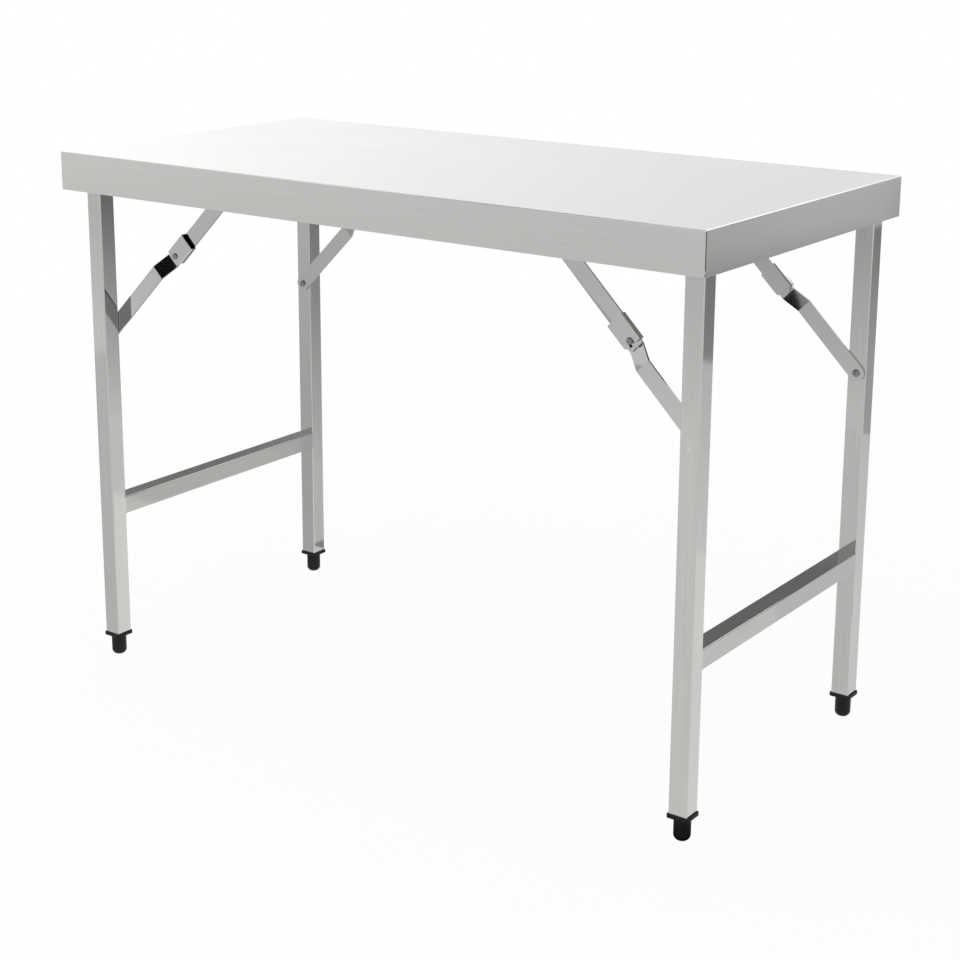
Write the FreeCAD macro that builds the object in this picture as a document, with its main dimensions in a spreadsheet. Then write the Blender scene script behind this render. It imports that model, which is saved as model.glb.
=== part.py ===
"""Folding stainless work table: a folded-sheet top on two hinged leg frames.

Frame: millimetres, +Z up, +X along the table's length, +Y to the rear. The origin lies on the
floor under the middle of the top. The left frame's hinges sit higher than the right frame's, so
the left frame folds up first and the right frame lies under it. Each leg has a two-link brace,
joggled to clear the leg, whose knee is locked by a sleeve that drops over it.
"""
import FreeCAD, Part
import Sketcher
import os
import re

# Driving dimensions in millimetres: alias, value, meaning.
SIZES = [
    ("table_length", 1200, "length of the top"),
    ("table_depth", 600, "depth of the top"),
    ("table_height", 877, "floor to the working surface"),
    ("apron_height", 62, "height of the folded-down rim"),
    ("top_sheet", 1.2, "sheet thickness of the top"),
    ("apron_lip", 8, "width of the lip turned in under the apron"),
    ("bend_radius", 2, "outside radius of the bends in the top"),
    ("corner_seam", 1.5, "open seam where two aprons meet at a corner"),
    ("leg_tube", 30, "outside width of the square leg and rail tube"),
    ("tube_wall", 1.2, "wall of the square tube"),
    ("tube_corner", 1.6, "outside corner radius of the square tube"),
    ("left_inset", 44, "left leg axis from the left end of the top"),
    ("right_inset", 30, "right leg axis from the right end of the top"),
    ("side_inset", 42, "leg axis from the long edge of the top"),
    ("hinge_drop", 23.5, "working surface down to the left hinge axis"),
    ("nest_gap", 1, "room between one frame's tube and the other's plug flange when both are folded"),
    ("leg_head", 12, "tube above the hinge axis"),
    ("rail_height", 269, "floor to the rail's axis"),
    ("hinge_plate", 2.5, "thickness of the hinge bracket"),
    ("hinge_half", 16, "half width of the hinge bracket, and its end radius"),
    ("side_gap", 0.3, "running gap between flat faces that pass each other"),
    ("bolt_radius", 4, "hinge bolt shank"),
    ("bolt_head", 5.3, "height of the hinge bolt's head"),
    ("hex_radius", 7.5, "corner radius of the bolt's head and nut"),
    ("nut_height", 6.5, "height of the hinge nut"),
    ("thread_end", 2.5, "bolt end past its nut"),
    ("pin_fit", 0.05, "radial clearance of a pin in its hole"),
    ("pin_drop", 302, "working surface down to the brace pins on the legs"),
    ("link_width", 26, "width of the brace bars, rounded at both ends"),
    ("link_bar", 3, "thickness of the brace bars"),
    ("joggle", 16, "sideways step of the lower link"),
    ("knee_flat", 13, "flat of the lower link from the knee down to its joggle"),
    ("pin_radius", 4, "shank of the brace pins and rivets"),
    ("pin_head", 6, "head radius of the brace pins"),
    ("pin_dome", 4, "head height of the brace pins"),
    ("tail_radius", 3.2, "head radius of the pin tail on the leg's outer face"),
    ("tail_dome", 0.8, "head height of the pin tail"),
    ("knee_head", 5, "head radius of the knee rivet"),
    ("knee_dome", 3.2, "knee rivet head proud of the sleeve"),
    ("sleeve_length", 44, "length of the lock sleeve"),
    ("sleeve_lap", 7, "sleeve below the knee axis when locked"),
    ("sleeve_wall", 1.2, "wall of the lock sleeve"),
    ("sleeve_side", 1.6, "room between the sleeve and the edges of the bars"),
    ("sleeve_front", 2.5, "room in the sleeve in front of the lower link"),
    ("sleeve_back", 0.4, "room in the sleeve behind the upper link"),
    ("sleeve_edge", 2.4, "outside radius along the sleeve"),
    ("sleeve_corner", 8, "radius of the sleeve's lower corner"),
    ("notch_gap", 0.3, "room between the knee rivet's head and the sleeve's notch"),
    ("brace_plate", 3, "thickness of the brace bracket"),
    ("brace_flange", 25, "flange of the brace bracket under the top"),
    ("channel_sheet", 1.5, "sheet thickness of the cross channel"),
    ("channel_width", 40, "width of the cross channel"),
    ("channel_depth", 18, "depth of the cross channel"),
    ("channel_flange", 12, "weld flange of the cross channel"),
    ("channel_gap", 6, "cross channel end to the brace bracket's flange"),
    ("flange_width", 35, "square flange of the leg plug"),
    ("flange_height", 5, "height of the plug's flange"),
    ("flange_corner", 4, "corner radius of the plug's flange"),
    ("spigot_length", 22, "plug inside the tube"),
    ("spigot_fit", 0.1, "plug to tube, each side"),
    ("foot_radius", 12.5, "bullet foot"),
    ("foot_height", 36, "bullet foot below the plug"),
    ("foot_round", 9, "radius of the bullet's tip"),
    ("stem_radius", 5, "threaded stem of the foot"),
    ("stem_length", 36, "stem above the bullet"),
    ("overrun", 5, "how far a cut runs past the face it opens"),
]
ALIASES = {alias for alias, size, meaning in SIZES}

# Direction along X and the leg axis and hinge height of each frame, and along Y of each row.
FRAMES = {
    "left": (-1, "-(table_length / 2 - left_inset)", "(table_height - hinge_drop)"),
    "right": (1, "(table_length / 2 - right_inset)",
              "(table_height - hinge_drop - (leg_tube + flange_width) / 2 - nest_gap)"),
}
ROWS = {"front": -1, "rear": 1}

# The legs' faces that look at the middle of the table carry the braces.
INNER_FACE = "(table_depth / 2 - side_inset - leg_tube / 2)"
UNDERSIDE = "(table_height - top_sheet)"
TUBE_END = "(foot_height + flange_height)"
PIN_HEIGHT = "(table_height - pin_drop)"

# Brace layers, measured from the leg's inner face towards the middle of the table.
FLAT_LAYER = "(side_gap + joggle)"
UPPER_LAYER = "(side_gap + joggle + link_bar + side_gap)"
PLATE_LAYER = "(side_gap + joggle + link_bar + side_gap + link_bar + side_gap)"
SLEEVE_START = "(side_gap + joggle - sleeve_front - sleeve_wall)"
SLEEVE_END = "(side_gap + joggle + link_bar + side_gap + link_bar + sleeve_back + sleeve_wall)"

QUARTER_TURN = 90
HALF_TURN = 180
ALONG_Y = FreeCAD.Rotation(FreeCAD.Vector(1, 0, 0), -QUARTER_TURN)
JOGGLE_ANGLE = 30
HEXAGON = 6
# Share of a rivet head's height that its rounded rim takes up.
RIM_SHARE = 0.9
# Two places on one face agree to this share of a millimetre.
SAME_PLACE_SHARE = 1e-6

doc = FreeCAD.newDocument("folding_table")
sheet = doc.addObject("Spreadsheet::Sheet", "dims")
for row_number, (alias, size, meaning) in enumerate(SIZES, start=1):
    sheet.set(f"A{row_number}", meaning)
    sheet.set(f"B{row_number}", str(size))
    sheet.setAlias(f"B{row_number}", alias)
doc.recompute()

pieces = []


def formula(text):
    """Turn words that name a size into references to the spreadsheet."""
    return re.sub(r"[a-z_]+", lambda word: "dims." + word[0] if word[0] in ALIASES else word[0], text)


def value(text):
    return float(sheet.evalExpression(formula(text)))


def bind(obj, **sizes):
    for name, text in sizes.items():
        obj.setExpression(name, formula(text))
    return obj


def place(obj, x="0", y="0", z="0", rotation=FreeCAD.Rotation()):
    obj.Placement = FreeCAD.Placement(FreeCAD.Vector(), rotation)
    for axis, text in zip("xyz", (x, y, z)):
        obj.setExpression(f"Placement.Base.{axis}", formula(text))
    return obj


def box(length, width, height, x="0", y="0", z="0"):
    block = bind(doc.addObject("Part::Box", "block"), Length=length, Width=width, Height=height)
    return place(block, x, y, z)


def rod(radius, length, x="0", y="0", z="0", rotation=ALONG_Y):
    """A round bar from (x, y, z), along Y unless a rotation says otherwise."""
    bar = bind(doc.addObject("Part::Cylinder", "bar"), Radius=radius, Height=length)
    return place(bar, x, y, z, rotation)


def hexagon(radius, height, y):
    prism = doc.addObject("Part::Prism", "hexagon")
    prism.Polygon = HEXAGON
    bind(prism, Circumradius=radius, Height=height)
    return place(prism, y=y, rotation=ALONG_Y)


def fuse(*shapes):
    union = doc.addObject("Part::MultiFuse", "union")
    union.Shapes = list(shapes)
    union.Refine = True
    return union


def cut(base, *tools):
    rest = doc.addObject("Part::Cut", "rest")
    rest.Base = base
    rest.Tool = tools[0] if len(tools) == 1 else fuse(*tools)
    return rest


def common(first, second):
    shared = doc.addObject("Part::Common", "shared")
    shared.Base = first
    shared.Tool = second
    return shared


def rounded(base, radius, chosen):
    """Round the edges of base for which chosen(edge) is true."""
    doc.recompute()
    fillet = doc.addObject("Part::Fillet", "rounded")
    fillet.Base = base
    size = value(radius)
    fillet.Edges = [(i, size, size) for i, edge in enumerate(base.Shape.Edges, start=1) if chosen(edge)]
    return fillet


def runs_along(axis):
    """Choose straight edges that run along the X, Y or Z axis."""
    def chosen(edge):
        ends = [vertex.Point for vertex in edge.Vertexes]
        span = ends[-1] - ends[0]
        return abs(getattr(span, axis)) > (1 - SAME_PLACE_SHARE) * span.Length
    return chosen


def button(radius, height, y, towards, x="0", z="0"):
    """A rivet head that stands on y, grows along towards times Y and has a rounded rim."""
    start = y if towards > 0 else f"{y} - {height}"
    head = rod(radius, height, x, start, z)
    crown = value(f"{start} + {height}") if towards > 0 else value(start)

    def on_crown(edge):
        return len(edge.Vertexes) == 1 and abs(edge.CenterOfMass.y - crown) < SAME_PLACE_SHARE

    return rounded(head, f"{height} * {RIM_SHARE}", on_crown)


def outline(body, role, corners):
    """Sketch a closed polygon on one of the body's planes, each corner bound to its two sizes."""
    plane = next(feature for feature in body.Origin.OriginFeatures if feature.Role == role)
    sketch = body.newObject("Sketcher::SketchObject", "outline")
    sketch.AttachmentSupport = [(plane, "")]
    sketch.MapMode = "FlatFace"
    points = [FreeCAD.Vector(value(u), value(v), 0) for u, v in corners]
    for i, point in enumerate(points):
        sketch.addGeometry(Part.LineSegment(point, points[(i + 1) % len(points)]))
    for i in range(len(points)):
        sketch.addConstraint(Sketcher.Constraint("Coincident", i, 2, (i + 1) % len(points), 1))
    for i, corner in enumerate(corners):
        for kind, axis, text in zip(("DistanceX", "DistanceY"), (-2, -1), corner):
            if text == "0":
                sketch.addConstraint(Sketcher.Constraint("PointOnObject", i, 1, axis))
                continue
            number = sketch.addConstraint(Sketcher.Constraint(kind, -1, 1, i, 1, value(text)))
            sketch.renameConstraint(number, f"{kind}_{i}")
            sketch.setExpression(f"Constraints.{kind}_{i}", formula(text))
    return sketch


def padded(name, role, corners, length):
    body = doc.addObject("PartDesign::Body", name)
    sketch = outline(body, role, corners)
    pad = body.newObject("PartDesign::Pad", "pad")
    pad.Profile = sketch
    bind(pad, Length=length)
    doc.recompute()
    return body


def turned(name, corners):
    """A body of revolution about Z from a half section of radii and heights."""
    body = doc.addObject("PartDesign::Body", name)
    sketch = outline(body, "XZ_Plane", corners)
    turn = body.newObject("PartDesign::Revolution", "turn")
    turn.Profile = sketch
    turn.ReferenceAxis = (sketch, ["V_Axis"])
    doc.recompute()
    return body


def keep(label, obj):
    """Name a finished piece, which becomes a node of its own."""
    obj.Label = label
    pieces.append(obj)
    return obj


def corner_place(obj, x, row, z):
    """Put a piece made with Y = 0 on a leg's inner face, Y pointing at the table's middle."""
    turn = FreeCAD.Rotation(FreeCAD.Vector(0, 0, 1), 0 if row < 0 else HALF_TURN)
    return place(obj, x, f"{row} * {INNER_FACE}", z, turn)


def brace_place(obj, side, x, row):
    """Put a brace piece made with its leg pin at the origin and X running up the brace."""
    along = FreeCAD.Vector(-side, 0, 1).normalize()
    inward = FreeCAD.Vector(0, -row, 0)
    turn = FreeCAD.Rotation(along, inward, along.cross(inward), "XYZ")
    return place(obj, x, f"{row} * {INNER_FACE}", PIN_HEIGHT, turn)


def square_tube(length_x, length_y, length_z, axis, x, y, z):
    """A square tube with rounded corners along the named axis, open at both ends."""
    outer = rounded(box(length_x, length_y, length_z, x, y, z), "tube_corner", runs_along(axis))
    sizes = {"x": length_x, "y": length_y, "z": length_z}
    places = {"x": x, "y": y, "z": z}
    for name in sizes:
        shift = "- overrun" if name == axis else "+ tube_wall"
        growth = "+ 2 * overrun" if name == axis else "- 2 * tube_wall"
        places[name] = f"{places[name]} {shift}"
        sizes[name] = f"{sizes[name]} {growth}"
    return cut(outer, box(sizes["x"], sizes["y"], sizes["z"], places["x"], places["y"], places["z"]))


def corner_slot(x_sign, y_sign, inset):
    """The mitred seam of one corner, cut from outside the corner to inside the lips."""
    inward = FreeCAD.Vector(-x_sign, -y_sign, 0).normalize()
    upward = FreeCAD.Vector(0, 0, 1)
    slot = box(f"{inset} * sqrt(2) + 2 * overrun", "corner_seam", "apron_height - bend_radius + overrun")
    return place(slot,
                 f"{x_sign} * (table_length / 2 + overrun / sqrt(2)) - {y_sign} * corner_seam / sqrt(8)",
                 f"{y_sign} * (table_depth / 2 + overrun / sqrt(2)) + {x_sign} * corner_seam / sqrt(8)",
                 "table_height - apron_height - overrun",
                 FreeCAD.Rotation(inward, upward.cross(inward), upward, "XYZ"))


def make_table_top():
    """A folded pan: four aprons bent down, a lip turned in, and an open seam at each corner."""
    block = box("table_length", "table_depth", "apron_height",
                "-table_length / 2", "-table_depth / 2", "table_height - apron_height")
    apron_middle = value("table_height - apron_height / 2")
    folded = rounded(block, "bend_radius", lambda edge: edge.BoundBox.ZMin > apron_middle)
    cavity = box("table_length - 2 * top_sheet", "table_depth - 2 * top_sheet",
                 "apron_height - 2 * top_sheet", "-table_length / 2 + top_sheet",
                 "-table_depth / 2 + top_sheet", "table_height - apron_height + top_sheet")
    inset = "(top_sheet + apron_lip)"
    mouth = box(f"table_length - 2 * {inset}", f"table_depth - 2 * {inset}", "top_sheet + 2 * overrun",
                f"-table_length / 2 + {inset}", f"-table_depth / 2 + {inset}",
                "table_height - apron_height - overrun")
    seams = [corner_slot(x_sign, y_sign, inset) for x_sign in (-1, 1) for y_sign in (-1, 1)]
    keep("table_top", cut(folded, cavity, mouth, *seams))


def make_cross_channel(name, x):
    """A hat-section channel across the underside, between the two brace brackets."""
    flange, far = "channel_flange", "channel_flange + channel_width"
    foot, sheet_top = "channel_depth - channel_sheet", "channel_depth"
    section = [
        ("0", foot), (flange, foot), (flange, "0"), (far, "0"), (far, foot),
        (f"{far} + channel_flange", foot), (f"{far} + channel_flange", sheet_top),
        (f"{far} - channel_sheet", sheet_top),
        (f"{far} - channel_sheet", "channel_sheet"), (f"{flange} + channel_sheet", "channel_sheet"),
        (f"{flange} + channel_sheet", sheet_top), ("0", sheet_top),
    ]
    reach = f"({INNER_FACE} - {PLATE_LAYER} - brace_flange - channel_gap)"
    channel = padded(name, "XZ_Plane", section, f"2 * {reach}")
    # The section's plane faces the front, so the pad grows that way from the rear end.
    place(channel, f"{x} - channel_width / 2 - channel_flange", reach, f"{UNDERSIDE} - channel_depth")
    keep(name, channel)


def make_hinge(name, x, row, hinge_z):
    """The clevis under the top that holds one leg, with its bolt and nut."""
    rise = f"({UNDERSIDE} - {hinge_z})"
    start = "(-leg_tube - side_gap - hinge_plate)"
    depth = "(leg_tube + 2 * side_gap + 2 * hinge_plate)"
    slab = fuse(box("2 * hinge_half", depth, rise, "-hinge_half", start),
                rod("hinge_half", depth, y=start))
    gap = box("2 * hinge_half + 2 * overrun", "leg_tube + 2 * side_gap",
              f"{rise} - hinge_plate + hinge_half + overrun",
              "-hinge_half - overrun", "-leg_tube - side_gap", "-hinge_half - overrun")
    hole = rod("bolt_radius + pin_fit", f"{depth} + 2 * overrun", y=f"{start} - overrun")
    keep(f"hinge_bracket_{name}", corner_place(cut(slab, gap, hole), x, row, hinge_z))
    shank = rod("bolt_radius", f"{depth} + nut_height + thread_end", y=start)
    bolt = fuse(hexagon("hex_radius", "bolt_head", f"{start} - bolt_head"), shank)
    keep(f"hinge_bolt_{name}", corner_place(bolt, x, row, hinge_z))
    seat = "(side_gap + hinge_plate)"
    bore = rod("bolt_radius + pin_fit", "nut_height + 2 * overrun", y=f"{seat} - overrun")
    return corner_place(cut(hexagon("hex_radius", "nut_height", seat), bore), x, row, hinge_z)


def make_leg(name, x, row, hinge_z):
    tube = square_tube("leg_tube", "leg_tube", f"{hinge_z} + leg_head - {TUBE_END}", "z",
                       "-leg_tube / 2", "-leg_tube", TUBE_END)
    holes = [rod(f"{radius} + pin_fit", "leg_tube + 2 * overrun", y="-leg_tube - overrun", z=height)
             for radius, height in (("bolt_radius", hinge_z), ("pin_radius", PIN_HEIGHT))]
    keep(f"leg_{name}", corner_place(cut(tube, *holes), x, row, "0"))
    inside = "(leg_tube - 2 * tube_wall - 2 * spigot_fit)"
    flange = box("flange_width", "flange_width", "flange_height",
                 "-flange_width / 2", "-leg_tube / 2 - flange_width / 2", "foot_height")
    spigot = box(inside, inside, "spigot_length",
                 f"-{inside} / 2", f"-leg_tube / 2 - {inside} / 2", TUBE_END)
    bore = rod("stem_radius + pin_fit", "flange_height + spigot_length + 2 * overrun", y="-leg_tube / 2",
               z="foot_height - overrun", rotation=FreeCAD.Rotation())
    plug = cut(fuse(rounded(flange, "flange_corner", runs_along("z")), spigot), bore)
    keep(f"leg_plug_{name}", corner_place(plug, x, row, "0"))
    section = [
        ("0", "0"), ("foot_radius", "0"), ("foot_radius", "foot_height"), ("stem_radius", "foot_height"),
        ("stem_radius", "foot_height + stem_length"), ("0", "foot_height + stem_length"),
    ]
    bullet = turned(f"bullet_{name}", section)
    foot = rounded(bullet, "foot_round",
                   lambda edge: len(edge.Vertexes) == 1 and edge.BoundBox.ZMax < SAME_PLACE_SHARE)
    keep(f"foot_{name}", place(foot, x, f"{row} * (table_depth / 2 - side_inset)"))
    shank = rod("pin_radius", "leg_tube", y="-leg_tube", z=PIN_HEIGHT)
    tail = button("tail_radius", "tail_dome", "-leg_tube", -1, z=PIN_HEIGHT)
    return corner_place(fuse(shank, tail), x, row, "0")


def make_rail(name, x):
    rail = square_tube("leg_tube", f"2 * {INNER_FACE}", "leg_tube", "y",
                       f"{x} - leg_tube / 2", f"-{INNER_FACE}", "rail_height - leg_tube / 2")
    keep(f"rail_{name}", rail)


def bar_outline(start, end, y, depth):
    """A bar with round ends about two pivots on X, as thick as depth along Y."""
    middle = box(f"{end} - {start}", depth, "link_width", start, y, "-link_width / 2")
    return fuse(middle, rod("link_width / 2", depth, start, y), rod("link_width / 2", depth, end, y))


def make_brace(name, side, x, row, hinge_z):
    """Both links, the knee rivet, the leg pin and the lock sleeve of one brace.

    The arms from the hinge to the two fixed pivots are equal and so are the links, so the brace
    stands at 45 degrees and its leg pin meets the upper pivot when the leg is folded.
    """
    arm = f"({hinge_z} - {PIN_HEIGHT})"
    knee = f"({arm} / sqrt(2))"
    upper_end = f"({arm} * sqrt(2))"
    hole_start = "-overrun"
    hole_length = f"{SLEEVE_END} + 2 * overrun"

    def hole(along):
        return rod("pin_radius + pin_fit", hole_length, along, hole_start)

    # The bar keeps its thickness round the joggle, so its two faces bend at shifted corners.
    bend = f"(link_bar / 2 * tan({JOGGLE_ANGLE} / 2))"
    nose = "(link_width / 2)"
    step_top = f"({nose} + {knee} - knee_flat)"
    step_foot = f"({step_top} - joggle / tan({JOGGLE_ANGLE}))"
    tip = f"{nose} + {knee} + {nose}"
    side_view = [
        ("0", "0"), (f"{step_foot} + {bend}", "0"), (f"{step_top} + {bend}", "joggle"), (tip, "joggle"),
        (tip, "joggle + link_bar"), (f"{step_top} - {bend}", "joggle + link_bar"),
        (f"{step_foot} - {bend}", "link_bar"), ("0", "link_bar"),
    ]
    strip = padded(f"strip_{name}", "XY_Plane", side_view, "link_width")
    place(strip, f"-{nose}", "side_gap", f"-{nose}")
    lower = cut(common(strip, bar_outline("0", knee, "0", UPPER_LAYER)), hole("0"), hole(knee))
    keep(f"lower_link_{name}", brace_place(lower, side, x, row))
    upper = cut(bar_outline(knee, upper_end, UPPER_LAYER, "link_bar"), hole(knee), hole(upper_end))
    keep(f"upper_link_{name}", brace_place(upper, side, x, row))

    leg_pin = fuse(rod("pin_radius", "link_bar", y="side_gap"),
                   button("pin_head", "pin_dome", "(side_gap + link_bar)", 1))
    keep(f"leg_pin_{name}", brace_place(leg_pin, side, x, row))
    neck = rod("knee_head", f"{FLAT_LAYER} - side_gap - {SLEEVE_START}", knee, SLEEVE_START)
    shank = rod("pin_radius", f"{UPPER_LAYER} + link_bar - {SLEEVE_START}", knee, SLEEVE_START)
    rivet = fuse(neck, shank, button("knee_head", "knee_dome", SLEEVE_START, -1, x=knee))
    keep(f"knee_rivet_{name}", brace_place(rivet, side, x, row))

    half = "(link_width / 2 + sleeve_side + sleeve_wall)"
    depth = f"({SLEEVE_END} - {SLEEVE_START})"
    low_end = f"({knee} - sleeve_lap)"
    shell = rounded(box("sleeve_length", depth, f"2 * {half}", low_end, SLEEVE_START, f"-{half}"),
                    "sleeve_edge", runs_along("x"))
    blank = box("sleeve_length", depth, f"2 * {half}", low_end, SLEEVE_START, f"-{half}")
    # The lower corner on the brace's underside is cut round; the underside changes hands by corner.
    under = -side * row
    sleeve_middle = value(f"{low_end} + sleeve_length / 2")

    def lower_corner(edge):
        place_on_box = edge.CenterOfMass
        return runs_along("y")(edge) and place_on_box.x < sleeve_middle and place_on_box.z * under > 0

    trimmed = rounded(blank, "sleeve_corner", lower_corner)
    inside = box("sleeve_length + 2 * overrun", f"{depth} - 2 * sleeve_wall",
                 f"2 * {half} - 2 * sleeve_wall",
                 f"{low_end} - overrun", f"{SLEEVE_START} + sleeve_wall", f"-{half} + sleeve_wall")
    notch = "(knee_head + notch_gap)"
    slot_depth = "(2 * sleeve_wall)"
    slot_start = f"{SLEEVE_START} - sleeve_wall"
    slot = fuse(rod(notch, slot_depth, knee, slot_start),
                box("sleeve_lap + overrun", slot_depth, f"2 * {notch}",
                    f"{low_end} - overrun", slot_start, f"-{notch}"))
    sleeve = cut(common(shell, trimmed), inside, slot)
    keep(f"lock_sleeve_{name}", brace_place(sleeve, side, x, row))


def make_brace_bracket(name, side, x, row, hinge_z):
    """The angle under the top that carries the upper link, and its rivet."""
    pivot_x = f"({x} - {side} * ({hinge_z} - {PIN_HEIGHT}))"
    rise = f"({UNDERSIDE} - {hinge_z})"
    plate = fuse(box("link_width", "brace_plate", rise, "-link_width / 2", PLATE_LAYER),
                 rod("link_width / 2", "brace_plate", y=PLATE_LAYER),
                 box("link_width", "brace_flange", "brace_plate", "-link_width / 2", PLATE_LAYER,
                     f"{rise} - brace_plate"))
    hole = rod("pin_radius + pin_fit", "brace_plate + 2 * overrun", y=f"{PLATE_LAYER} - overrun")
    keep(f"brace_bracket_{name}", corner_place(cut(plate, hole), pivot_x, row, hinge_z))
    start = f"({UPPER_LAYER} - side_gap)"
    far = f"({PLATE_LAYER} + brace_plate)"
    rivet = fuse(rod("pin_radius", f"{far} - {start}", y=start),
                 button("pin_head", "pin_dome", start, -1), button("pin_head", "pin_dome", far, 1))
    keep(f"brace_rivet_{name}", corner_place(rivet, pivot_x, row, hinge_z))


def make_group(label, solids):
    group = doc.addObject("Part::Compound", label)
    group.Links = solids
    keep(label, group)


def make_frame(side_name):
    side, x, hinge_z = FRAMES[side_name]
    nuts, tails = [], []
    for row_name, row in ROWS.items():
        name = f"{side_name}_{row_name}"
        nuts.append(make_hinge(name, x, row, hinge_z))
        tails.append(make_leg(name, x, row, hinge_z))
        make_brace(name, side, x, row, hinge_z)
        make_brace_bracket(name, side, x, row, hinge_z)
    make_group(f"hinge_nuts_{side_name}", nuts)
    make_group(f"pin_tails_{side_name}", tails)
    make_rail(side_name, x)
    make_cross_channel(f"cross_channel_{side_name}", f"({x} - {side} * ({hinge_z} - {PIN_HEIGHT}))")


def check_and_export():
    doc.recompute()
    broken = [obj.Label for obj in doc.Objects if {"Invalid", "Error"} & set(obj.State)]
    broken += [piece.Label for piece in pieces if piece.Shape.isNull() or not piece.Shape.isValid()]
    if broken:
        raise RuntimeError("failed objects: " + ", ".join(broken))
    os.makedirs("parts", exist_ok=True)
    for piece in pieces:
        piece.Shape.exportStep(f"parts/{piece.Label}.step")
        print(f"{piece.Label}: {len(piece.Shape.Solids)} solids, {piece.Shape.Volume:.1f} mm3")


make_table_top()
for frame_name in FRAMES:
    make_frame(frame_name)
check_and_export()
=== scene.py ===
"""Folding stainless work table: finishes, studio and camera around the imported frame. Metres, +Z up."""

import math

import bmesh
import bpy
from mathutils import Matrix, Vector


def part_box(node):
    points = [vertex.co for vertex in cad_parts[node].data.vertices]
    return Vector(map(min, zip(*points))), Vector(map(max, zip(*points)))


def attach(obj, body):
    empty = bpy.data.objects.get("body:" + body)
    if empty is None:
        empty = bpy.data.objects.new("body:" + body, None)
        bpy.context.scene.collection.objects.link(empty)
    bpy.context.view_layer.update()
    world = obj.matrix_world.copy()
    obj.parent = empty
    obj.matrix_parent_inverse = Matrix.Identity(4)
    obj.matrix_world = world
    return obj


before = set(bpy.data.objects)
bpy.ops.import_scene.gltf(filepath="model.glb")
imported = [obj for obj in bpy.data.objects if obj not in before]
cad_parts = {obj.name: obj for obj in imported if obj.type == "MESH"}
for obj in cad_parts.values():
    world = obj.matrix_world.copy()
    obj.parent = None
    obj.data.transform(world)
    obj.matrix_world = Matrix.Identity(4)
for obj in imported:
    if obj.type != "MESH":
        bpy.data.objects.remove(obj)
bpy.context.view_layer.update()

MM = 0.001

# Outside corner radius of the square tube
TUBE_CORNER = 1.6 * MM

# How far a foot screws out below its place at rest
FOOT_TRAVEL = 20 * MM

# Steel's gloss changes slowly over about a hand's breadth, as rolling and handling leave it
CLOUD_SIZE = 180 * MM

# Nearly all values of a noise texture lie between these two
NOISE_LOW = 0.3
NOISE_HIGH = 0.7

WHITE = "#FFFFFF"
CARD_WHITE = "#FDFDFD"
FLOOR_PAINT = "#F4F4F4"

# The camera stands in front of the table, to its right, a little above the top. Its angles are in degrees,
# its lens and sensor in millimetres, and its shift is a share of the frame.
CAMERA_PLACE = (1.7661, -2.4036, 1.3005)
CAMERA_AZIMUTH = 35.862
CAMERA_ELEVATION = 13.838
CAMERA_ROLL = 0.32
CAMERA_LENS = 71.441
CAMERA_SENSOR = 36.0
CAMERA_SHIFT = -0.13


def linear(hex_colour):
    """An sRGB hex colour as linear red, green, blue and alpha."""
    channels = [int(hex_colour[i:i + 2], 16) / 255 for i in (1, 3, 5)]
    return [c / 12.92 if c <= 0.04045 else ((c + 0.055) / 1.055) ** 2.4 for c in channels] + [1.0]


def add(tree, kind, values):
    """Add a node. A socket is linked to the input of that name, a setting is set, the rest fill inputs."""
    node = tree.nodes.new(kind)
    for name, value in values.items():
        if isinstance(value, bpy.types.NodeSocket):
            tree.links.new(value, node.inputs[name])
        elif isinstance(name, str) and hasattr(node, name):
            setattr(node, name, value)
        else:
            node.inputs[name].default_value = value
    return node


def new_material(name):
    """An empty node material and its output node."""
    material = bpy.data.materials.new(name)
    material.use_nodes = True
    material.node_tree.nodes.clear()
    return material, material.node_tree.nodes.new("ShaderNodeOutputMaterial")


def along_axis(tree, place, axis, squeeze):
    """Places squeezed along one axis, which draws a pattern out along it."""
    scale = [squeeze if name == axis else 1.0 for name in "XYZ"]
    return add(tree, "ShaderNodeMapping", {"Vector": place, "Scale": scale}).outputs["Vector"]


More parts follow.
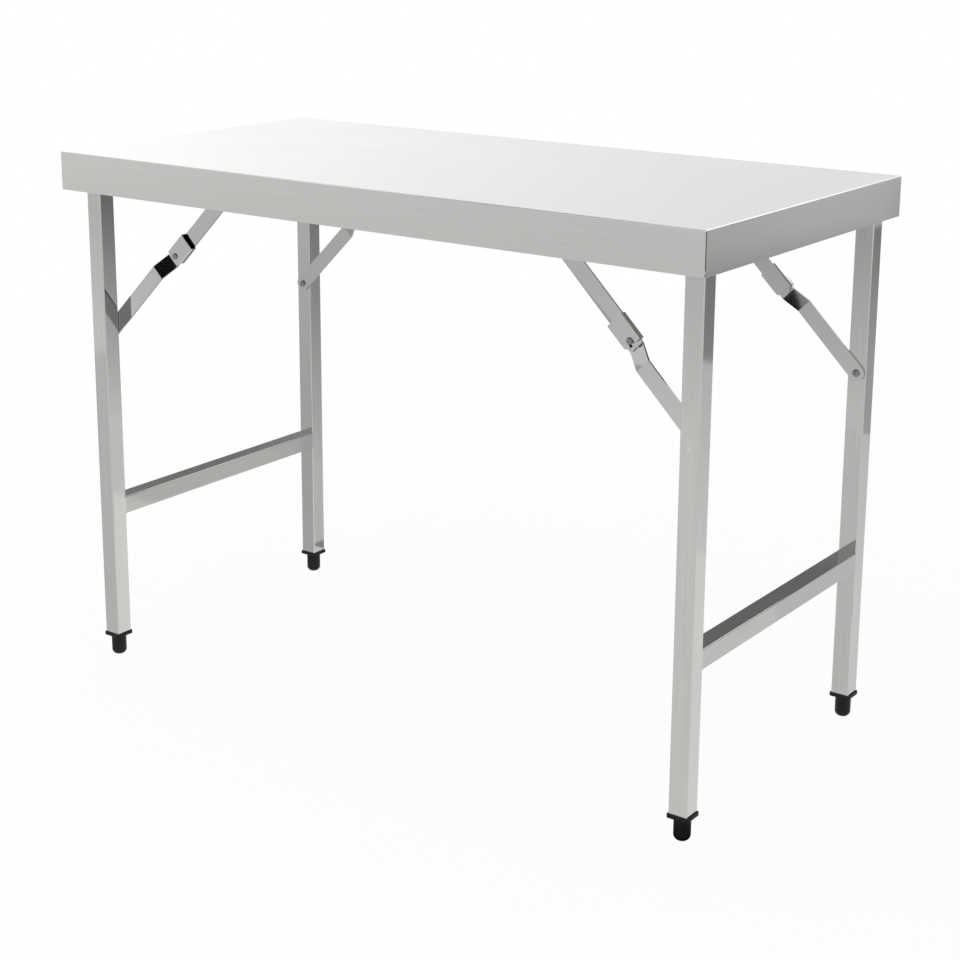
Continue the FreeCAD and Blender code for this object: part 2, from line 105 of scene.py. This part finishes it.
def stainless(name, tones, roughness, gloss_change, grain_width, grain_length, grain_depth,
              along=None, folded=None):
    """Stainless steel with a grain of the given width and length along one axis, or an even one without it.
    A folded sheet's grain runs down its two ends, where it follows the second axis instead."""
    material, output = new_material(name)
    tree = material.node_tree
    place = add(tree, "ShaderNodeTexCoord", {}).outputs["Object"]
    strokes = along_axis(tree, place, along, grain_width / grain_length)
    if folded is not None:
        facing = add(tree, "ShaderNodeNewGeometry", {}).outputs["Normal"]
        sideways = add(tree, "ShaderNodeSeparateXYZ", {"Vector": facing}).outputs[along]
        on_end = add(tree, "ShaderNodeMath", {"operation": "ABSOLUTE", 0: sideways}).outputs[0]
        down_end = along_axis(tree, place, folded, grain_width / grain_length)
        strokes = add(tree, "ShaderNodeMix", {
            "data_type": "VECTOR", "Factor": on_end, "A": strokes, "B": down_end}).outputs["Result"]
    grain = add(tree, "ShaderNodeTexNoise", {
        "Vector": strokes, "Scale": 1 / grain_width, "Detail": 3.0, "Roughness": 0.6}).outputs["Fac"]
    cloud = add(tree, "ShaderNodeTexNoise", {
        "Vector": place, "Scale": 1 / CLOUD_SIZE, "Detail": 2.0}).outputs["Fac"]
    stroke = add(tree, "ShaderNodeMapRange", {
        "Value": grain, "From Min": NOISE_LOW, "From Max": NOISE_HIGH}).outputs["Result"]
    tone = add(tree, "ShaderNodeMix", {
        "data_type": "RGBA", "Factor": stroke,
        "A": linear(tones[0]), "B": linear(tones[1])}).outputs["Result"]
    both = add(tree, "ShaderNodeMath", {"operation": "ADD", 0: grain, 1: cloud}).outputs[0]
    gloss = add(tree, "ShaderNodeMapRange", {
        "Value": both, "From Min": 2 * NOISE_LOW, "From Max": 2 * NOISE_HIGH,
        "To Min": roughness - gloss_change, "To Max": roughness + gloss_change}).outputs["Result"]
    relief = add(tree, "ShaderNodeBump", {
        "Height": grain, "Distance": grain_depth, "Strength": 1.0}).outputs["Normal"]
    surface = add(tree, "ShaderNodeBsdfPrincipled", {
        "Base Color": tone, "Metallic": 1.0, "Roughness": gloss, "Normal": relief})
    tree.links.new(surface.outputs[0], output.inputs["Surface"])
    return material


def satin_sheet():
    """Cold-rolled stainless sheet, polished lengthwise and folded: soft reflections with a faint grain that
    turns down over the ends. The real grain is about 0.1 mm wide; it is drawn 2 mm wide so that it shows."""
    return stainless("satin_stainless_sheet", ("#C2C1BF", "#C6C5C3"), roughness=0.22, gloss_change=0.02,
                     grain_width=2 * MM, grain_length=260 * MM, grain_depth=0.0012 * MM,
                     along="X", folded="Z")


def drawn_tube(name, tones, along):
    """Welded stainless tube, polished lengthwise: sharp reflections with fine drawn lines along the tube.
    The real lines are about 0.1 mm wide; they are drawn 1.8 mm wide so that they show."""
    return stainless(name, tones, roughness=0.07, gloss_change=0.02,
                     grain_width=1.8 * MM, grain_length=180 * MM, grain_depth=0.001 * MM, along=along)


def leg_tube():
    """The legs' tube, drawn along its height."""
    return drawn_tube("drawn_stainless_leg_tube", ("#B9B8B6", "#C1C0BE"), "Z")


def rail_tube():
    """The rails' tube, drawn along the table's depth and a shade darker than the legs."""
    return drawn_tube("drawn_stainless_rail_tube", ("#A9A8A6", "#B1B0AE"), "Y")


def rolled_bar():
    """Cold-rolled stainless strip, tumbled after it was cut and bent: bright, with a very fine even grain.
    The real grain is about 0.1 mm across; it is drawn 1.5 mm across so that it shows."""
    grain_size = 1.5 * MM
    return stainless("rolled_stainless_bar", ("#B9B7B6", "#BDBBBA"), roughness=0.06, gloss_change=0.015,
                     grain_width=grain_size, grain_length=grain_size, grain_depth=0.0006 * MM)


def headed_steel(name, tones, roughness):
    """Cold-headed steel: smooth where the die pressed it, with a very fine even grain.
    The real grain is about 0.05 mm across; it is drawn 0.8 mm across so that it shows."""
    grain_size = 0.8 * MM
    return stainless(name, tones, roughness, gloss_change=0.02,
                     grain_width=grain_size, grain_length=grain_size, grain_depth=0.0004 * MM)


def headed_bolt():
    """Bolts, nuts and pin tails: stainless steel, left bright, with slightly soft reflections."""
    return headed_steel("headed_stainless_steel", ("#C6C5C3", "#CAC9C7"), roughness=0.10)


def rivet_with_painted_shade():
    """Rivets and pins: steel, glossier than the bolts, and toned darker than them as painted shade for the
    dark reflections and shaded gaps round their heads.
    """
    # The dark tones are painted shade, standing in for the dark reflections and shaded gaps round the heads
    return headed_steel("rivet_steel_with_painted_shade", ("#7C7B7A", "#848382"), roughness=0.06)


def moulded_black_plastic():
    """Black polyethylene, injection moulded in a spark-eroded mould: matt, with a fine even pebble.
    The real pebble is about 0.1 mm across; it is drawn 0.6 mm across so that it shows."""
    pebble_size = 0.6 * MM
    pebble_depth = 0.03 * MM
    dust_size = 12 * MM
    smoothest = 0.42
    roughest = 0.6
    material, output = new_material("moulded_black_plastic")
    tree = material.node_tree
    place = add(tree, "ShaderNodeTexCoord", {}).outputs["Object"]
    pebble = add(tree, "ShaderNodeTexNoise", {
        "Vector": place, "Scale": 1 / pebble_size, "Detail": 2.0}).outputs["Fac"]
    dust = add(tree, "ShaderNodeTexNoise", {
        "Vector": place, "Scale": 1 / dust_size, "Detail": 3.0}).outputs["Fac"]
    tint = add(tree, "ShaderNodeMix", {
        "data_type": "RGBA", "Factor": dust,
        "A": linear("#0D0D0E"), "B": linear("#141415")}).outputs["Result"]
    gloss = add(tree, "ShaderNodeMapRange", {
        "Value": pebble, "To Min": smoothest, "To Max": roughest}).outputs["Result"]
    relief = add(tree, "ShaderNodeBump", {
        "Height": pebble, "Distance": pebble_depth, "Strength": 1.0}).outputs["Normal"]
    surface = add(tree, "ShaderNodeBsdfPrincipled", {
        "Base Color": tint, "Roughness": gloss, "IOR": 1.51,
        "Specular IOR Level": 0.2, "Normal": relief})
    tree.links.new(surface.outputs[0], output.inputs["Surface"])
    return material


def finish_nodes():
    """Give every piece of the frame the finish of its own material, and return the legs' finish."""
    sheet = satin_sheet()
    leg = leg_tube()
    bar = rolled_bar()
    bolt = headed_bolt()
    rivet = rivet_with_painted_shade()
    plastic = moulded_black_plastic()
    finishes = {
        "table_top": sheet, "cross_channel": sheet,
        "leg": leg, "rail": rail_tube(),
        "hinge_bracket": bar, "brace_bracket": bar, "upper_link": bar, "lower_link": bar, "lock_sleeve": bar,
        "hinge_bolt": bolt, "hinge_nuts": bolt, "pin_tails": bolt,
        "brace_rivet": rivet, "knee_rivet": rivet, "leg_pin": rivet,
        "leg_plug": plastic, "foot": plastic,
    }
    # The longest kind that a node's name starts with is its own, so a leg's plug isn't taken for a leg
    kinds = sorted(finishes, key=len, reverse=True)
    for name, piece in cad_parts.items():
        kind = next(k for k in kinds if name.startswith(k))
        piece.data.materials.clear()
        piece.data.materials.append(finishes[kind])
    return leg


def weld_outline(x, y, face, outward):
    """A weld's outline, seen from above: a rail's corner, and the leg's round corner beside it as an arc."""
    steps = 6
    turns = [math.pi / 2 * i / steps for i in range(steps + 1)]
    return [(x, y)] + [(x - face * TUBE_CORNER * (1 - math.cos(turn)),
                        y + outward * TUBE_CORNER * (1 - math.sin(turn))) for turn in turns]


def upright_prisms(name, outlines, low, high):
    """One mesh with an upright prism on each outline, all faces turned outward."""
    points = []
    faces = []
    for outline in outlines:
        start = len(points)
        count = len(outline)
        points += [(x, y, z) for z in (low, high) for x, y in outline]
        lower = [start + i for i in range(count)]
        upper = [start + count + i for i in range(count)]
        faces += [lower, upper]
        faces += [(lower[i - 1], lower[i], upper[i], upper[i - 1]) for i in range(count)]
    mesh = bpy.data.meshes.new(name)
    mesh.from_pydata(points, [], faces)
    solid = bmesh.new()
    solid.from_mesh(mesh)
    bmesh.ops.recalc_face_normals(solid, faces=solid.faces)
    solid.to_mesh(mesh)
    solid.free()
    return mesh


def rail_welds(finish):
    """The welds between legs and rails, ground flush: they fill the groove beside each leg's round corner."""
    for side in ("left", "right"):
        rail_low, rail_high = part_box(f"rail_{side}")
        low = rail_low.z + TUBE_CORNER
        high = rail_high.z - TUBE_CORNER
        for row, outward, y in (("front", -1, rail_low.y), ("rear", 1, rail_high.y)):
            outlines = [weld_outline(x, y, face, outward) for face, x in ((-1, rail_low.x), (1, rail_high.x))]
            mesh = upright_prisms(f"rail_weld_{side}_{row}", outlines, low, high)
            mesh.materials.append(finish)
            weld = bpy.data.objects.new(mesh.name, mesh)
            bpy.context.scene.collection.objects.link(weld)
            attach(weld, f"frame_{side}")


def seen_directly(tree):
    """Whether the camera, a reflection or a view through something sees the surface, as 0 or 1."""
    path = add(tree, "ShaderNodeLightPath", {}).outputs
    looked_at = add(tree, "ShaderNodeMath", {
        "operation": "MAXIMUM", 0: path["Is Camera Ray"], 1: path["Is Glossy Ray"]}).outputs[0]
    return add(tree, "ShaderNodeMath", {
        "operation": "MAXIMUM", 0: looked_at, 1: path["Is Transmission Ray"]}).outputs[0]


def studio_world():
    """White all round where it is seen, and a plain soft light on the object."""
    soft_light = 0.75
    world = bpy.data.worlds.new("studio")
    world.use_nodes = True
    tree = world.node_tree
    tree.nodes.clear()
    level = add(tree, "ShaderNodeMapRange", {
        "Value": seen_directly(tree), "To Min": soft_light, "To Max": 1.0}).outputs["Result"]
    light = add(tree, "ShaderNodeBackground", {"Color": linear(WHITE), "Strength": level})
    output = tree.nodes.new("ShaderNodeOutputWorld")
    tree.links.new(light.outputs[0], output.inputs["Surface"])
    bpy.context.scene.world = world


def flat_piece(name, corners, material):
    """One flat face of the studio, which isn't part of the object."""
    mesh = bpy.data.meshes.new(name)
    mesh.from_pydata(corners, [], [list(range(len(corners)))])
    mesh.materials.append(material)
    piece = bpy.data.objects.new(name, mesh)
    bpy.context.scene.collection.objects.link(piece)
    return piece


def rectangle(left, right, low, high):
    """The outline of a card with square corners."""
    return [(left, low), (right, low), (right, high), (left, high)]


def standing(depth, outline):
    """The corners of an upright card along the table's length, from its outline across and up."""
    return [(x, depth, z) for x, z in outline]


def beside(right, outline):
    """The corners of an upright card at the table's right end, from its outline along and up."""
    return [(right, y, z) for y, z in outline]


def lying(height, outline):
    """The corners of a level card, from its outline across and along."""
    return [(x, y, height) for x, y in outline]


def studio_floor():
    """Pale floor that keeps a light shadow near the table and is plain white further off.
    It lies as low as the feet reach, so that a foot that is screwed out still shows whole."""
    reach = 9.0
    fade_from = 1.2
    fade_to = 3.5
    white_near_table = 0.93
    material, output = new_material("white_studio_floor")
    tree = material.node_tree
    place = add(tree, "ShaderNodeTexCoord", {}).outputs["Object"]
    away = add(tree, "ShaderNodeVectorMath", {"operation": "LENGTH", 0: place}).outputs["Value"]
    white_share = add(tree, "ShaderNodeMapRange", {
        "Value": away, "From Min": fade_from, "From Max": fade_to,
        "To Min": white_near_table, "To Max": 1.0}).outputs["Result"]
    share = add(tree, "ShaderNodeMath", {
        "operation": "MULTIPLY", 0: white_share, 1: seen_directly(tree)}).outputs[0]
    paint = add(tree, "ShaderNodeBsdfDiffuse", {"Color": linear(FLOOR_PAINT)})
    white = add(tree, "ShaderNodeEmission", {"Color": linear(WHITE), "Strength": 1.0})
    both = add(tree, "ShaderNodeMixShader", {"Fac": share, 1: paint.outputs[0], 2: white.outputs[0]})
    tree.links.new(both.outputs[0], output.inputs["Surface"])
    flat_piece("studio_floor", lying(-FOOT_TRAVEL, rectangle(-reach, reach, -reach, reach)), material)


def studio_card(name, corners, level, fades_to=None, along="Z", between=None):
    """A card that stands out of view, glows at a set level instead of being lit and shows only in reflections
    in the steel: painted light and shade that give the steel its tones.
    Its level is 1 where it is white. A level that fades changes evenly along one axis, between two places on
    it."""
    material, output = new_material(name)
    tree = material.node_tree
    if fades_to is not None:
        place = add(tree, "ShaderNodeTexCoord", {}).outputs["Object"]
        distance = add(tree, "ShaderNodeSeparateXYZ", {"Vector": place}).outputs[along]
        level = add(tree, "ShaderNodeMapRange", {
            "Value": distance, "From Min": between[0], "From Max": between[1],
            "To Min": level, "To Max": fades_to}).outputs["Result"]
    # The card's glow is painted light and shade, seen only where the steel reflects it
    face = add(tree, "ShaderNodeEmission", {"Color": linear(CARD_WHITE), "Strength": level})
    tree.links.new(face.outputs[0], output.inputs["Surface"])
    card = flat_piece(name, corners, material)
    card.visible_camera = False
    card.visible_diffuse = False
    card.visible_shadow = False


def row_behind():
    """A row of low cards close behind the table, which the right faces of legs and apron show, each leg
    its own."""
    depth = 0.8
    in_front = depth - 0.01

    # Where the row starts, where its cards meet and where it ends
    left = -2.4
    middle = -0.02
    right = 0.71
    far_right = 0.99
    end = 1.7

    # How high the two pale cards and the whole row reach
    pale_high = 0.308
    far_pale_high = 0.396
    high = 0.80

    studio_card("grey_card_behind_left", standing(depth, rectangle(left, middle, 0.0, high)),
                0.83, fades_to=0.30, between=(0.0, 0.61))
    studio_card("grey_card_behind_middle", standing(depth, rectangle(middle, right, 0.0, high)),
                0.96, fades_to=0.25, between=(0.0, 0.553))
    studio_card("pale_card_behind_right", standing(depth, rectangle(right, far_right, 0.0, pale_high)),
                1.0, fades_to=0.86, between=(0.0, pale_high))
    studio_card("grey_card_behind_right", standing(depth, rectangle(right, far_right, pale_high, high)),
                0.56, fades_to=0.34, between=(0.45, 0.69))
    studio_card("pale_card_far_right", standing(depth, rectangle(far_right, end, 0.0, far_pale_high)),
                1.0, fades_to=0.82, between=(0.0, far_pale_high))
    studio_card("grey_card_far_right", standing(depth, rectangle(far_right, end, far_pale_high, high)),
                0.40, fades_to=0.32, between=(far_pale_high, 0.57))
    apron_outline = [(0.80, 0.712), (1.17, 0.585), (1.35, 0.52), (1.35, 1.0), (0.80, 1.0)]
    studio_card("pale_card_for_apron", standing(in_front, apron_outline),
                0.75, fades_to=0.72, along="X", between=(0.816, 1.21))


def cards_far_behind():
    """A bright card far behind for the top, and a bright and a dark one before it for the right-hand bend."""
    depth = 2.5
    bright_depth = depth - 0.1
    dark_depth = depth - 0.2
    studio_card("bright_card_behind", standing(depth, rectangle(-7.0, 1.2, 0.9, 4.0)),
                1.48, fades_to=1.02, along="X", between=(-3.9, -0.4))
    studio_card("bright_card_high_right", standing(bright_depth, rectangle(-0.4, 1.25, 1.8, 3.4)), 2.4)
    studio_card("dark_card_high_right", standing(dark_depth, rectangle(1.75, 2.7, 1.05, 1.7)), 0.05)


def cards_in_front():
    """Grey cards in front, which the front faces of legs, braces and apron show, and a low one to the
    right of them."""
    far = -2.2
    near = -0.35
    right_end = 0.0
    apron_low = 0.40
    beside_table = 1.5
    studio_card("grey_card_in_front", standing(far, rectangle(-2.9, right_end, 0.0, apron_low)),
                0.98, fades_to=0.85, between=(0.0, 0.31))
    studio_card("grey_card_for_apron", standing(far, rectangle(-3.4, right_end, apron_low, 0.75)),
                1.06, fades_to=0.90, along="X", between=(-2.7, -0.45))
    rear_right_outline = [(-0.05, 0.30), (0.335, 0.30), (0.335, 0.685), (0.27, 0.745), (-0.05, 0.76)]
    studio_card("grey_card_near_right", standing(near, rear_right_outline),
                0.92, fades_to=0.60, between=(0.34, 0.69))
    studio_card("grey_card_near_left", standing(near, rectangle(-1.2, -0.68, 0.0, 0.76)),
                0.68, fades_to=0.82, between=(0.143, 0.666))
    studio_card("grey_card_beside", beside(beside_table, rectangle(-2.35, -1.6, 0.0, 0.36)), 0.6)


def dark_cards():
    """Small dark cards in front and overhead, which the joggles and the front bend show."""
    joggle_depth = -1.2
    overhead = 2.4
    bend_outline = [(-1.0, 0.0), (-1.0, -0.6), (-1.2, -1.25), (-0.25, -1.25), (-0.1, -0.6), (-0.1, 0.0)]
    studio_card("dark_card_for_joggle", standing(joggle_depth, rectangle(-0.625, -0.365, 1.06, 1.32)), 0.01)
    studio_card("dark_card_overhead", lying(overhead, bend_outline), 0.02)


def cards_near_floor():
    """Level cards just above the foot of the table, which the lower ends of legs and braces show."""
    height = 2 * MM
    left_rear = [(-0.57, -0.06), (-0.57, 0.30), (-2.2, 0.30), (-2.2, -1.65)]
    left_front = [(-0.57, -0.08), (-2.2, -1.67), (-2.2, -2.1), (-0.57, -0.6)]
    right_rear = [(0.59, 0.24), (0.40, 0.24), (-0.30, -1.35), (-0.30, -1.66), (0.59, -0.02)]
    right_front = [(0.60, -0.20), (0.75, -0.20), (1.25, 0.60), (1.25, 0.79), (1.0, 0.79), (0.60, 0.05)]
    outlines_and_levels = {
        "grey_floor_left_rear": (left_rear, 0.68),
        "grey_floor_left_front": (left_front, 0.85),
        "grey_floor_right_rear": (right_rear, 0.88),
        "grey_floor_beside": (rectangle(1.15, 1.5, -2.35, -1.75), 0.6),
        "bright_floor_middle": (rectangle(-0.55, 0.25, -0.26, 0.36), 1.18),
        "bright_floor_right": (right_front, 1.12),
        "pale_floor_middle": (rectangle(-0.43, -0.02, 0.37, 0.79), 0.86),
        "dark_floor_right": (rectangle(0.50, 0.635, -0.315, -0.21), 0.01),
        "dark_floor_left": (rectangle(-0.80, -0.43, 0.31, 0.62), 0.4),
    }
    for name, (outline, level) in outlines_and_levels.items():
        studio_card(name, lying(height, outline), level)


def softbox_overhead():
    """One large softbox overhead, a little in front and to the left, which points at the table."""
    place = Vector((-0.6, -0.8, 3.2))
    aim = Vector((0, 0, 0.5))
    width = 2.6
    power = 24
    lamp = bpy.data.lights.new("softbox_overhead", "AREA")
    lamp.shape = "SQUARE"
    lamp.size = width
    lamp.energy = power
    holder = bpy.data.objects.new("softbox_overhead", lamp)
    holder.location = place
    holder.rotation_euler = (aim - place).to_track_quat("-Z", "Y").to_euler()
    bpy.context.scene.collection.objects.link(holder)


def photo_camera():
    """The camera at the photograph's viewing angle."""
    azimuth = math.radians(CAMERA_AZIMUTH)
    elevation = math.radians(CAMERA_ELEVATION)
    back = Vector((math.sin(azimuth) * math.cos(elevation),
                   -math.cos(azimuth) * math.cos(elevation),
                   math.sin(elevation)))
    right = Vector((math.cos(azimuth), math.sin(azimuth), 0))
    turn = Matrix((right, back.cross(right), back)).transposed()
    roll = Matrix.Rotation(math.radians(CAMERA_ROLL), 3, "Z")
    lens = bpy.data.cameras.new("camera")
    lens.sensor_width = CAMERA_SENSOR
    lens.lens = CAMERA_LENS
    lens.shift_y = CAMERA_SHIFT
    camera = bpy.data.objects.new("camera", lens)
    camera.matrix_world = Matrix.Translation(CAMERA_PLACE) @ (turn @ roll).to_4x4()
    bpy.context.scene.collection.objects.link(camera)
    bpy.context.scene.camera = camera


photo_camera()
rail_welds(finish_nodes())
studio_world()
studio_floor()
row_behind()
cards_far_behind()
cards_in_front()
dark_cards()
cards_near_floor()
softbox_overhead()
bpy.context.scene.view_settings.view_transform = "Standard"
